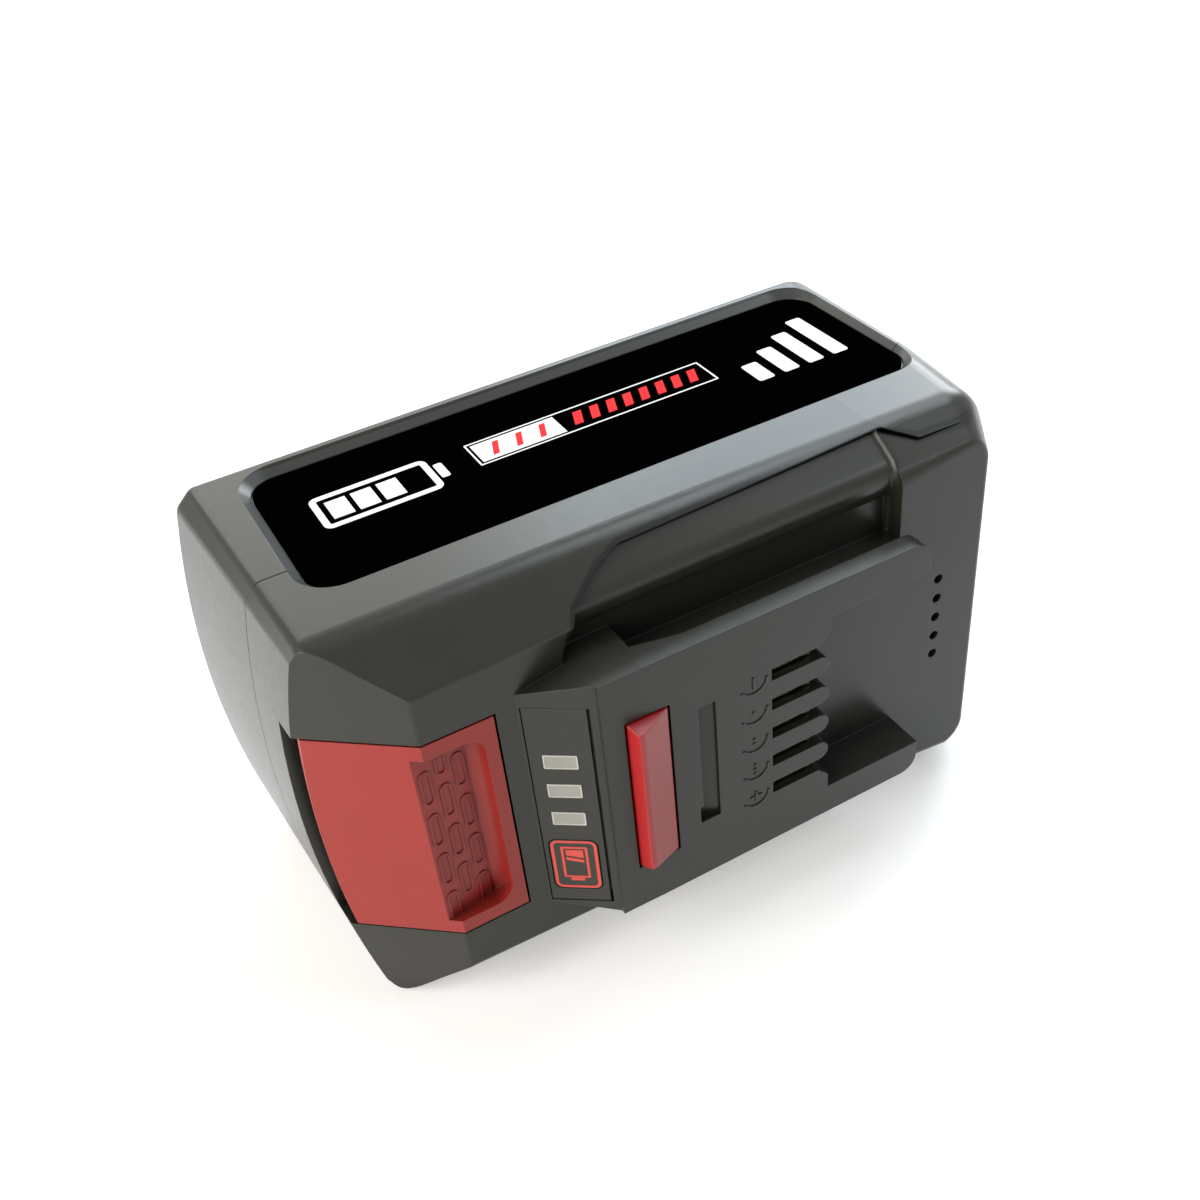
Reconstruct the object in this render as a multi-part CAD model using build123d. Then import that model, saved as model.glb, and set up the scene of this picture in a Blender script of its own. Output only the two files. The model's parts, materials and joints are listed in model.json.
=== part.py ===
import math
import os

from build123d import *

# Slide-on power tool battery pack, lying on its side. Lengths are in millimetres.
# X runs from the button end to the rear end, Y from the rail face down to the pack's base,
# and Z across the width. Until the last step, Y = 0 is the rail platform, Z = 0 the middle of
# the width and X = 0 the platform's front edge.

# How far cutting shapes run past the solids, how far joined shapes run into each other, and how
# far a corner may lie off a face that is made flat
past = 5.0
far = 40.0
merge = 1.0
flat_limit = 1e-6

# Cells and what holds them
cell_radius = 9.2
cell_length = 65.0
cell_pitch_x = 19.4
cell_pitch_y = 19.3
cell_first_x = -16.4
columns = 5
rows = 2
base_clearance = 0.5
cap_radius = 3.0
cap_height = 0.6
bore_clearance = 0.15
holder_depth = 10.0
holder_rim = 1.6
holder_low_rim = 0.95
holder_gap = 0.3
deck_y = 24.0
deck_thickness = 1.2
strip_thickness = 0.25
strip_width = 8.0
strip_reach = 5.0
strip_bridge = 6.0
tab_width = 3.0
tab_overlap = 2.0
insulator_thickness = 0.3
insulator_clearance = 0.05
cell_end_room = 1.4

# Outer form of the two housings
wall = 2.5
side_wall = 4.1
half_width = cell_length / 2 + cell_end_room + side_wall
floor_y = 7.7
shoulder_y = 15.7
seam_y = 34.4
cells_height = 2 * cell_radius + (rows - 1) * cell_pitch_y
base_y = deck_y + deck_thickness + bore_clearance + cells_height + holder_low_rim + base_clearance + wall
floor_inset_front = 9.1
floor_inset_rear = 4.5
floor_half_front = half_width - floor_inset_front
floor_half_rear = half_width - floor_inset_rear
floor_rear_x = 77.2
shoulder_rear_x = 81.9
seam_rear_x = 84.4
base_rear_x = 85.2
front_corner_x = -34.6
front_corner_draft = 0.036
front_edge_x = -35.7
front_edge_draft = 0.064
front_bow = 3.8
front_strip_drop = 2.7
rear_corner_radius = 7.5
floor_corner_radius = 5.0
fold_x = -24.5
slope_foot_x = -38.6
slope_foot_y = 19.2
shoulder_round = 6.0
floor_edge_round = 1.2
base_round = 2.0
strip_round = 2.2
seam_gap = 0.15
lip_height = 2.0
lip_wall = 1.1
lip_clearance = 0.15

# Rail block
platform_half = 24.9
platform_front_inset = 0.2
platform_end_x = 59.5
platform_wall = 2.4
rail_end_round = 3.2
block_rear_x = 8.1
block_foot_half = 22.8
block_wall = 1.9
ramp_foot_x = -9.6
ramp_top_y = 0.8
flange_thickness = 3.4
flange_lead_thickness = 5.2
flange_lead_length = 8.0
stem_half = 20.5
stem_wall = 2.3
bay_half = 18.7
bay_front_x = 40.4
bay_corner = 2.0

# Grooves beside the rails, with their slanted front ends
groove_start_x = -1.4
groove_start_lap = 0.4
groove_mouth_x = -0.9
groove_mouth_width = 2.3
groove_slant_x = (2.2, 7.9, 12.4)
groove_slant_inset = (6.1, 3.0, 1.6)
groove_front = (
    (groove_start_x, platform_half - groove_start_lap),
    (groove_mouth_x, platform_half + groove_mouth_width),
    *((x, half_width - inset) for x, inset in zip(groove_slant_x, groove_slant_inset)),
)
groove_rear_x = 59.6
groove_outer_inset = 0.6
groove_outer_z = half_width - groove_outer_inset
groove_root_y = 11.25
groove_floor_width = 6.6
groove_crease_z = stem_half + groove_floor_width
groove_flank_inset = 4.7
groove_flank_z = half_width - groove_flank_inset
groove_ridge_round = 3.5
groove_rear_round = 1.0
relief_depth = 1.0
relief_inset = 2.6
relief_z = half_width - relief_inset
relief_edge = 5.5
relief_step = 6.0
relief_round = 3.0
relief_end_x = 78.0
relief_end_depth = -0.1

# Contact slots and the fins between them
slot_count = 5
slot_pitch = 6.2
slot_width = 2.5
slot_front_x = 29.3
fin_nose_x = 40.3
contact_gap_x = 36.5

# Key slot, vents
key_front_x = 16.0
key_rear_x = 19.1
key_half = 12.4
key_depth = 1.5
key_rear_depth = 0.75
key_notch_x = 15.4
key_notch_length = 3.6
vent_count = 5
vent_pitch = 4.13
vent_x = 68.5
vent_diameter = 1.8

# Release button, hook, carrier and springs
button_half = 20.6
button_rear_x = -13.1
button_clearance = 0.35
button_wall = 2.5
scoop_wall = 2.0
button_front_x = -38.45
button_bow = 1.1
button_tip_height = 1.2
button_post_x = -18.5
button_post_z = 5.0
button_post_radius = 3.0
skirt_clearance = 0.2
latch_travel = 3.5
crescent_clearance = 0.5
thumb_rear_x = -15.2
thumb_front_x = -26.2
thumb_depth = 3.0
thumb_bend = 2.2
thumb_half = 17.8
thumb_corner = 3.0
rib_length = 6.8
rib_width = 2.0
rib_line = 0.35
rib_height = 0.2
rib_columns = 3
rib_rows = 4
rib_pitch = 8.8
rib_column_pitch = 2.9
rib_start = 1.6
hook_front_x = 4.0
hook_rear_x = 10.9
hook_half = 15.4
hook_ridge_x = 5.2
hook_ridge_length = 0.8
hook_height = 2.3
hook_ridge_inset = 0.8
hook_clearance = 0.4
hook_wall = 1.6
hook_neck = 6.0
hook_pin_z = 9.0
carrier_y = 15.0
carrier_thickness = 2.0
carrier_half = 16.0
carrier_bar = 4.0
carrier_window_x = -11.0
carrier_end_bar = 2.0
carrier_rim_height = 1.5
carrier_rim_width = 1.6
pin_radius = 1.9
pin_clearance = 0.02
spring_x = -22.5
spring_z = 12.0
spring_radius = 3.0
spring_wire = 0.7
spring_seat = 1.5
stud_clearance = 0.3
stud_height = 1.2

# Charge gauge on the ramp
panel_start = 0.6
panel_end = 10.2
panel_low_z = -22.3
panel_high_z = 20.2
panel_thickness = 1.0
panel_gap = 0.15
panel_rear_gap = 0.5
panel_sink = 0.1
window_count = 3
window_pitch = 6.15
window_top_z = 9.3
window_width = 2.85
window_length = 5.3
window_middle = 5.3
window_clearance = 0.08
key_cap_length = 7.6
key_cap_height = 11.4
key_cap_z = -13.7
key_cap_round = 1.2
key_cap_travel = 0.5
key_cap_clearance = 0.2
key_rim = 0.8
key_rim_depth = 2.5
key_rim_thickness = 0.5
led_length = 3.0
led_width = 1.6
led_height = 1.0
led_clearance = 0.2
switch_size = 4.5
switch_clearance = 0.05
gauge_board_start = 1.5
gauge_board_end = 9.4
gauge_board_low_z = -19.7
gauge_board_high_z = 19.6
gauge_board_depth = 4.6
gauge_board_thickness = 0.8
gauge_post_radius = 1.3
gauge_screw_radius = 0.7
gauge_head_radius = 1.26
gauge_head_height = 0.7
gauge_screw_z = (16.0, -5.8)

# Main circuit board, terminal block and contacts
board_front_x = -14.0
board_rear_x = 66.0
board_inset = 5.5
board_half = cell_length / 2 - board_inset
board_thickness = 1.6
board_standoff = 1.2
board_screw_inset_x = 3.5
board_screw_inset_z = 4.2
stand_radius = 2.2
thermistor_z = 6.0
thermistor_radius = 1.2
thermistor_hole_radius = 1.6
transistor_x = (44.0, 57.0)
transistor_z = (-9.0, 9.0)
transistor_length = 9.0
transistor_width = 10.0
transistor_height = 4.4
monitor_x = 18.5
monitor_size = 7.0
monitor_height = 1.2
ribbon_x = -1.2
ribbon_thickness = 0.4
ribbon_width = 2.8
ribbon_top_y = 8.4
ribbon_clearance = 1.2
block_front_x = 25.0
block_end_x = 35.8
block_half = 16.6
block_top_y = 10.4
clip_thickness = 0.4
clip_gap = 0.8
clip_pinch = 0.4
clip_mouth = 1.28
clip_root = 3.5
clip_bend = 1.8
clip_low_y = 7.4
clip_bridge_height = 0.5
stem_front = 0.6
stem_rear = 4.5
stem_grip = 0.1
stem_clearance = 0.05
clip_front_x = 29.9
clip_rear_x = 37.6
clip_top_y = 1.6
contact_names = (
    "contact_positive", "contact_signal_1", "contact_signal_2", "contact_signal_3",
    "contact_negative",
)

# Screws
screw_front_x = -32.0
screw_rear_x = 77.2
screw_inset = 10.5
screw_z = half_width - screw_inset
screw_shank_radius = 1.5
screw_hole_clearance = 0.2
screw_thread_clearance = 0.05
screw_head_radius = 2.7
screw_head_height = 2.2
screw_length = 23.0
boss_radius = 3.6
boss_head_radius = 4.3
head_bore_radius = 2.9
boss_clearance = 0.4
head_depth = 23.0
head_seat_y = base_y - head_depth
board_screw_radius = 1.0
board_head_radius = 1.9
board_head_height = 1.2

# Label on the upper side
label_front_x = -29.0
label_rear_x = 78.3
label_low_y = 28.3
label_base_gap = 4.5
label_high_y = base_y - label_base_gap
label_round = 5.0
label_thickness = 0.5
recess_depth = 1.5
recess_rim = 1.6
label_clearance = 0.3


def stations():
    """Heights where the housing's outline changes, with its half widths and its rear end."""
    return [
        (floor_y, floor_half_front, floor_half_rear, floor_rear_x, floor_corner_radius),
        (shoulder_y, half_width, half_width, shoulder_rear_x, rear_corner_radius),
        (seam_y, half_width, half_width, seam_rear_x, rear_corner_radius),
        (base_y, half_width, half_width, base_rear_x, rear_corner_radius),
    ]


def shape_at(y):
    """Half widths, rear end and corner radius at a height, between the stations."""
    table = stations()
    for low, high in zip(table, table[1:]):
        if y <= high[0]:
            t = (y - low[0]) / (high[0] - low[0])
            return [a + t * (b - a) for a, b in zip(low[1:], high[1:])]
    return list(table[-1][1:])


def level(y):
    """Plane of constant Y whose sketch axes are X and Z."""
    return Plane((0, y, 0), x_dir=(1, 0, 0), z_dir=(0, -1, 0))


def slab(sketch, y0, y1):
    """A plan sketch raised from y0 to y1."""
    return extrude(level(y0) * sketch, amount=y0 - y1)


def across(sketch, z0, z1):
    """A side view sketch raised from z0 to z1."""
    return Pos(0, 0, z0) * extrude(sketch, amount=z1 - z0)


def rect(x0, x1, y0, y1):
    return Pos((x0 + x1) / 2, (y0 + y1) / 2) * Rectangle(x1 - x0, y1 - y0)


def brick(x0, x1, y0, y1, z0, z1):
    return Pos((x0 + x1) / 2, (y0 + y1) / 2, (z0 + z1) / 2) * Box(x1 - x0, y1 - y0, z1 - z0)


def post(x, z, radius, y0, y1):
    """A round post that stands along Y."""
    return slab(Pos(x, z) * Circle(radius), y0, y1)


def polygon(*points):
    return make_face(Polyline(*points, close=True))


def both_sides(solid):
    return solid + mirror(solid, about=Plane.XY)


def outline_curves(y, ends, sides):
    """The eight stretches of the housing's plan outline at a height."""
    half_front, half_rear, rear, radius = shape_at(y)
    half_front -= sides
    half_rear -= sides
    rear -= ends
    corner = front_corner_x - front_corner_draft * y + ends
    edge = front_edge_x - front_edge_draft * y + ends
    edge_half = half_front - front_strip_drop
    bend = radius * (1 - math.sqrt(0.5))
    curves = [
        ThreePointArc((edge, edge_half), (edge - front_bow, 0), (edge, -edge_half)),
        Line((edge, -edge_half), (corner, -half_front)),
        Line((corner, -half_front), (rear - radius, -half_rear)),
        ThreePointArc(
            (rear - radius, -half_rear), (rear - bend, bend - half_rear), (rear, radius - half_rear)
        ),
        Line((rear, radius - half_rear), (rear, half_rear - radius)),
        ThreePointArc(
            (rear, half_rear - radius), (rear - bend, half_rear - bend), (rear - radius, half_rear)
        ),
        Line((rear - radius, half_rear), (corner, half_front)),
        Line((corner, half_front), (edge, edge_half)),
    ]
    return [level(y) * curve.edge() for curve in curves]


def outline(y, ends=0.0, sides=0.0):
    """Plan outline of the housing at a height, drawn in by a wall at its ends and sides."""
    return make_face(outline_curves(y, ends, sides))


def ruled_face(low, high):
    """The face between two edges, a plane where two lines allow it."""
    corners = [low @ 0, low @ 1, high @ 1, high @ 0]
    if low.geom_type == GeomType.LINE:
        normal = (corners[1] - corners[0]).cross(corners[3] - corners[0]).normalized()
        if abs(normal.dot(corners[2] - corners[0])) < flat_limit:
            return polygon(*corners).face()
    return Face.make_surface_from_curves(low, high)


def ruled_solid(sections):
    """A solid through sections, each a closed list of as many edges in the same order."""
    faces = [make_face(section).face() for section in (sections[0], sections[-1])]
    for low, high in zip(sections, sections[1:]):
        faces += [ruled_face(a, b) for a, b in zip(low, high)]
    return Part() + Solid(Shell(faces))


def hull(heights, ends=0.0, sides=0.0):
    """The housing's form through the outlines at some heights."""
    return ruled_solid([outline_curves(y, ends, sides) for y in heights])


def slope_cut(depth=0.0):
    """The space in front of the sloping front face, moved inwards by a depth."""
    run = Vector(slope_foot_x - fold_x, slope_foot_y - floor_y).normalized()
    inward = Vector(run.Y, -run.X)
    start = Vector(fold_x, floor_y) + inward * depth
    ends = [start - run * far, start + run * far]
    corners = ends + [p - inward * far for p in reversed(ends)]
    half = half_width + past
    return across(polygon(*[(p.X, p.Y) for p in corners]), -half, half)


def chamfer_line(x):
    """Half width of the chamfer at the floor's height, and its slope in Y and Z."""
    share = (x - front_corner_x) / (floor_rear_x - floor_corner_radius - front_corner_x)
    half = floor_half_front + share * (floor_half_rear - floor_half_front)
    return half, (half_width - half) / (shoulder_y - floor_y)


def at_x(x, edges):
    """Edges drawn in Y and Z, set at a place along the pack."""
    place = Plane((x, 0, 0), x_dir=(0, 1, 0), z_dir=(1, 0, 0))
    return [place * edge.edge() for edge in edges]


def rounded_corner(before, corner, after, radius):
    """Two lines with an arc between them, as three edges."""
    back = (before - corner).normalized()
    onward = (after - corner).normalized()
    half = math.radians(back.get_angle(onward)) / 2
    start = corner + back * (radius / math.tan(half))
    end = corner + onward * (radius / math.tan(half))
    middle = corner + (back + onward).normalized() * (radius / math.sin(half) - radius)
    return [Line(before, start), ThreePointArc(start, middle, end), Line(end, after)]


def groove_section(x, deeper=0.0):
    """Cross-section of the space over the groove's floor and over the ridge beside it."""
    half, slope = chamfer_line(x)
    half -= relief_depth
    flank = (groove_crease_z - groove_flank_z) / (groove_root_y - floor_y)
    ridge_drop = (groove_flank_z - half) / (slope - flank)
    low_y = shoulder_y + merge
    inner_z = stem_half - wall - merge
    edge_z = half_width + past
    crease = Vector(groove_root_y + deeper, groove_crease_z)
    ridge = Vector(floor_y + ridge_drop + deeper, half + ridge_drop * slope)
    outer = Vector(low_y + deeper, half + (low_y - floor_y) * slope)
    edges = [Line((-past, inner_z), (crease.X, inner_z)), Line((crease.X, inner_z), crease)]
    edges += rounded_corner(crease, ridge, outer, groove_ridge_round)
    edges += [Line(outer, (outer.X, edge_z)), Line((outer.X, edge_z), (-past, edge_z)),
              Line((-past, edge_z), (-past, inner_z))]
    return at_x(x, edges)


def groove_plan():
    """Plan of the groove beside one rail, with its slanted front end."""
    return polygon(
        *groove_front,
        (groove_rear_x, groove_outer_z),
        (groove_rear_x, stem_half),
        (block_rear_x, stem_half),
        (block_rear_x, platform_half),
    )


def groove_space(grow=0.0):
    """The space of the groove at +Z, grown by a wall for the cavity behind it."""
    plan = groove_plan() if grow == 0 else offset(groove_plan(), grow, kind=Kind.INTERSECTION)
    ends = (groove_front[0][0] - past, groove_rear_x + past)
    space = slab(plan, -past, base_y) & ruled_solid([groove_section(x, grow) for x in ends])
    return space if grow else fillet(groove_rear_edges(space), groove_rear_round)


def groove_rear_edges(space):
    """The edges where the groove's floor and the ridge's flank meet its rear wall."""
    def at_foot(e):
        behind = min((e @ 0).X, (e @ 1).X) > groove_rear_x - flat_limit
        return behind and floor_y < (e @ 0.5).Y < shoulder_y - merge and (e @ 0).Y > floor_y
    return [e for e in space.edges() if at_foot(e) and (e @ 0.5).Z < groove_flank_z]


def relief_section(x, depth, radius):
    """Cross-section of the space over the stepped chamfer behind the groove."""
    half = chamfer_line(x)[0]
    inner = Vector(floor_y, half - relief_edge)
    outer = Vector(shoulder_y, half_width - depth)
    edge_z = half_width + past
    edges = rounded_corner(inner, Vector(floor_y, half - depth), outer, radius)
    edges += Polyline(outer, (outer.X, edge_z), (-past, edge_z), (-past, inner.Y), inner).edges()
    return at_x(x, edges)


def side_relief():
    """Shallow step on the chamfer that fades out from the groove to the rear end."""
    inner_z = floor_half_rear - relief_edge
    plan = polygon(
        (groove_rear_x, inner_z), (groove_rear_x, groove_outer_z),
        (groove_rear_x + merge, groove_outer_z), (groove_rear_x + relief_step, relief_z),
        (relief_end_x, relief_z), (relief_end_x, inner_z),
    )
    sections = [relief_section(groove_rear_x, relief_depth, relief_round),
                relief_section(relief_end_x, relief_end_depth, floor_edge_round)]
    return slab(plan, 0, shoulder_y) & ruled_solid(sections)


def ramp_profile(base, depth=0.0):
    """Side view of the front block and its ramp, drawn in by a depth."""
    run = Vector(-ramp_foot_x, ramp_top_y - floor_y).normalized()
    inward = Vector(-run.Y, run.X)
    foot = Vector(ramp_foot_x, floor_y) + inward * depth
    top_y = depth
    if depth == 0:
        return polygon(
            (ramp_foot_x, floor_y), (0, ramp_top_y), (0, 0), (block_rear_x, 0),
            (block_rear_x, base), (ramp_foot_x, base),
        )
    reach = (foot.Y - top_y) / -run.Y
    top = foot + run * reach
    return polygon((foot.X, foot.Y), (top.X, top_y), (slot_front_x - wall, top_y),
                   (slot_front_x - wall, base), (foot.X, base))


def front_block():
    plan = polygon(
        (ramp_foot_x, block_foot_half), (0, platform_half - platform_front_inset),
        (block_rear_x, platform_half), (block_rear_x, -platform_half),
        (0, platform_front_inset - platform_half), (ramp_foot_x, -block_foot_half),
    )
    base = groove_root_y
    return slab(plan, 0, base) & across(ramp_profile(base), -platform_half, platform_half)


def rails():
    """The stem and the flanges that slide into a tool."""
    start = block_rear_x - merge
    flange_plan = rect(start, platform_end_x, -platform_half, platform_half)
    flange = slab(flange_plan, 0, flange_thickness)
    rear_corners = flange.edges().filter_by(Axis.Y).group_by(Axis.X)[-1]
    flange = fillet(rear_corners, rail_end_round)
    lead = polygon(
        (start, 0), (block_rear_x + flange_lead_length, 0),
        (block_rear_x + flange_lead_length, flange_thickness),
        (block_rear_x, flange_lead_thickness), (start, flange_lead_thickness),
    )
    stem = brick(start, platform_end_x, 0, floor_y + merge, -stem_half, stem_half)
    return flange + across(lead, -platform_half, platform_half) + stem


def field_half():
    """Half the width of the slot field, to the outer edges of the outer slots."""
    return (slot_count * slot_pitch - (slot_pitch - slot_width)) / 2


def bay_plan():
    """The open bay behind the contact slots."""
    rear = platform_end_x + merge
    half = [(rear, bay_half), (bay_front_x, bay_half), (bay_front_x, field_half() + bay_corner)]
    half.append((bay_front_x - bay_corner, field_half()))
    other = [(x, -z) for x, z in reversed(half)]
    return polygon(*half, *other)


def fin(index):
    """One fin between two contact slots, with its round nose."""
    middle = (index - (slot_count - 2) / 2) * slot_pitch
    radius = (slot_pitch - slot_width) / 2
    nose_x = fin_nose_x - radius
    body = rect(slot_front_x - merge, nose_x, middle - radius, middle + radius)
    return slab(body + Pos(nose_x, middle) * Circle(radius), 0, floor_y + merge)


def slot_field():
    return slab(rect(slot_front_x, bay_front_x, -field_half(), field_half()), -past, floor_y)


def key_slot():
    """A shallow slot across the platform whose floor rises towards the rear."""
    profile = polygon((key_front_x, -past), (key_rear_x, -past), (key_rear_x, key_rear_depth),
                      (key_front_x, key_depth))
    notch = brick(key_notch_x, key_front_x, -past, key_depth,
                  -key_half, key_notch_length - key_half)
    return across(profile, -key_half, key_half) + notch


def vents():
    first = -(vent_count - 1) / 2 * vent_pitch
    holes = [Pos(vent_x, first + i * vent_pitch) * Circle(vent_diameter / 2)
             for i in range(vent_count)]
    return slab(Sketch() + holes, floor_y - past, floor_y + wall + merge)


def ramp_plane(height=0.0):
    """Plane on the ramp: X runs up the ramp from its foot, Y along the width, Z outwards."""
    run = Vector(-ramp_foot_x, ramp_top_y - floor_y, 0).normalized()
    out = Vector(run.Y, -run.X, 0)
    foot = Vector(ramp_foot_x, floor_y, 0) + out * height
    return Plane(foot, x_dir=run, z_dir=out)


def on_ramp(sketch, high, low):
    """A sketch on the ramp, raised between two heights over it."""
    return extrude(ramp_plane(high) * sketch, amount=low - high)


def panel_sketch(clearance=0.0):
    return rect(panel_start - clearance, panel_end + clearance,
                panel_low_z - clearance, panel_high_z + clearance)


def window_spots():
    return [(window_middle, window_top_z - i * window_pitch) for i in range(window_count)]


def window_sketch(grow=0.0):
    shape = Rectangle(window_length + 2 * grow, window_width + 2 * grow)
    return Sketch() + [Pos(*spot) * shape for spot in window_spots()]


def key_cap_sketch(grow=0.0):
    shape = RectangleRounded(key_cap_length + 2 * grow, key_cap_height + 2 * grow,
                             key_cap_round + grow)
    return Pos(window_middle, key_cap_z) * shape


def label_sketch(grow=0.0):
    """The label's outline in side view."""
    shape = RectangleRounded(label_rear_x - label_front_x + 2 * grow,
                             label_high_y - label_low_y + 2 * grow, label_round + grow)
    return Pos((label_front_x + label_rear_x) / 2, (label_low_y + label_high_y) / 2) * shape


def label_recess():
    """The shallow recess with sloping rims, in both sides."""
    outer = Pos(0, 0, half_width) * label_sketch(label_clearance + recess_rim)
    inner = Pos(0, 0, half_width - recess_depth) * label_sketch(label_clearance)
    bed = across(label_sketch(label_clearance),
                 half_width - recess_depth - label_thickness, half_width)
    rim = loft([outer.face(), inner.face()], ruled=True)
    cap = across(label_sketch(label_clearance + recess_rim), half_width, half_width + past)
    return both_sides(rim + bed + cap)


def button_plan(clearance=0.0):
    half = button_half + clearance
    return rect(slope_foot_x - far, button_rear_x + clearance, -half, half)


def screw_spots():
    return [(x, z) for x in (screw_front_x, screw_rear_x) for z in (-screw_z, screw_z)]


def touching(form, test):
    """Edges whose two ends both pass a test."""
    return form.edges().filter_by(lambda e: test(e @ 0) and test(e @ 1))


def at_height(y):
    return lambda v: abs(v.Y - y) < 0.01


def strip_edges(form, y0, y1):
    """The four edges that run down beside the bowed front end."""
    def runs_down(e):
        heights = sorted([(e @ 0).Y, (e @ 1).Y])
        return heights[1] - heights[0] > (y1 - y0) / 2 and (e @ 0.5).X < fold_x - past
    return form.edges().filter_by(runs_down)


def upper_form():
    """The upper housing's outer form with its edges rounded."""
    form = hull([floor_y, shoulder_y, seam_y]) - slope_cut()
    form = fillet(touching(form, at_height(shoulder_y)), shoulder_round)
    form = fillet(strip_edges(form, slope_foot_y, seam_y), strip_round)
    return fillet(touching(form, at_height(floor_y)), floor_edge_round)


def lower_form():
    form = hull([seam_y + seam_gap, base_y])
    form = fillet(strip_edges(form, seam_y, base_y), strip_round)
    return fillet(touching(form, at_height(base_y)), base_round)


def upper_cavity():
    """Everything that is open inside the upper housing."""
    space = hull([floor_y + wall, shoulder_y, seam_y + seam_gap / 2], wall, side_wall)
    space -= slope_cut(wall)
    space -= both_sides(groove_space(wall))
    front_half = block_foot_half - block_wall
    behind_half = stem_half - stem_wall
    under = floor_y + wall + merge
    profile = ramp_profile(under, platform_wall)
    front = brick(ramp_foot_x, block_rear_x, 0, under, -front_half, front_half)
    space += across(profile, -front_half, front_half) & front
    space += across(profile, -behind_half, behind_half)
    throat = brick(slot_front_x - wall - merge, contact_gap_x, floor_y, under,
                   -field_half(), field_half())
    return space + throat


def gauge_openings():
    """Pocket of the gauge panel with the holes for its windows and its key."""
    pocket = rect(panel_start - panel_gap, panel_end + panel_rear_gap,
                  panel_low_z - panel_gap, panel_high_z + panel_gap)
    space = on_ramp(pocket, merge, -panel_sink - panel_thickness)
    space += on_ramp(window_sketch(window_clearance), 0, -platform_wall - merge)
    return space + on_ramp(key_cap_sketch(key_cap_clearance), 0, -platform_wall - merge)


def gauge_posts(radius, high, low):
    spots = [Pos(window_middle, z) * Circle(radius) for z in gauge_screw_z]
    return on_ramp(Sketch() + spots, high, low)


def crescent_y():
    """Lower edge of the opening in front of the button, which clears its pressed tip."""
    return slope_foot_y + button_tip_height + latch_travel + crescent_clearance


def button_opening():
    return slab(button_plan(button_clearance), -past, crescent_y())


def hook_opening():
    half = hook_half + hook_clearance
    return slab(rect(hook_front_x - hook_clearance, hook_rear_x + hook_clearance, -half, half),
                -past, floor_y)


def screw_posts(radius, y0, y1):
    posts = [post(x, z, radius, y0, y1) for x, z in screw_spots()]
    return Part() + posts


def terminal_housing():
    """Upper shell: rails, contact slots, button opening and gauge ramp."""
    form = upper_form()
    bosses = screw_posts(boss_radius, floor_y, seam_y) & form
    form -= both_sides(side_relief())
    form -= both_sides(groove_space())
    form += front_block() + rails()
    form -= slab(bay_plan(), -past, floor_y)
    form -= slot_field()
    form += Part() + [fin(i) for i in range(slot_count - 1)]
    form -= upper_cavity()
    form += bosses
    form -= screw_posts(screw_shank_radius, screw_tip_y() - merge, seam_y + merge)
    form += gauge_posts(gauge_post_radius, -platform_wall / 2, -gauge_board_depth)
    form -= gauge_posts(gauge_screw_radius, -platform_wall, -gauge_board_depth - merge)
    form -= button_opening() + hook_opening() + key_slot() + vents() + gauge_openings()
    form -= label_recess()
    lip_space = outline(seam_y, lip_inset(), side_wall - lip_wall - lip_clearance)
    return form - extrude(lip_space.face(), amount=lip_height + lip_clearance)


def lip_inset():
    return wall - lip_wall - lip_clearance


def bottom_housing():
    """Lower tub with its lip, its screw posts and its counterbores."""
    top = seam_y + seam_gap
    form = lower_form()
    form -= hull([top - seam_gap / 2, base_y - wall], wall, side_wall)
    lip = outline(top, wall - lip_wall, side_wall - lip_wall).face()
    lip -= outline(top, wall, side_wall).face()
    form += extrude(lip.face(), amount=lip_height)
    form += screw_posts(boss_head_radius, top, base_y - wall)
    form -= screw_posts(screw_shank_radius + screw_hole_clearance, top - merge, base_y)
    form -= screw_posts(head_bore_radius, head_seat_y, base_y + past)
    return form - label_recess()


def button_front_plan():
    """Plan of the release button with its bowed front edge."""
    front = ThreePointArc((button_front_x, button_half), (button_front_x - button_bow, 0),
                          (button_front_x, -button_half))
    sides = Polyline((button_front_x, -button_half), (button_rear_x, -button_half),
                     (button_rear_x, button_half), (button_front_x, button_half))
    return make_face([front] + list(sides.edges()))


def thumb_recess():
    """Scoop for the thumb: a floor that dives rearwards and a rounded rear wall."""
    start = (thumb_front_x, floor_y + (fold_x - thumb_front_x) * slope_steepness())
    deep = (thumb_rear_x - thumb_bend, floor_y + thumb_depth)
    middle = (thumb_rear_x - thumb_bend * 0.3, floor_y + thumb_depth * 0.7)
    floor_line = Line(start, deep)
    bend = ThreePointArc(deep, middle, (thumb_rear_x, floor_y))
    over = Polyline((thumb_rear_x, floor_y), (thumb_rear_x, 0), (start[0], 0), start)
    profile = make_face([floor_line, bend] + list(over.edges()))
    plan = rect(start[0], thumb_rear_x, -thumb_half, thumb_half)
    plan = fillet(plan.vertices().group_by(Axis.X)[-1], thumb_corner)
    return across(profile, -thumb_half, thumb_half) & slab(plan, -past, seam_y)


def slope_steepness():
    return (slope_foot_y - floor_y) / (fold_x - slope_foot_x)


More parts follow.
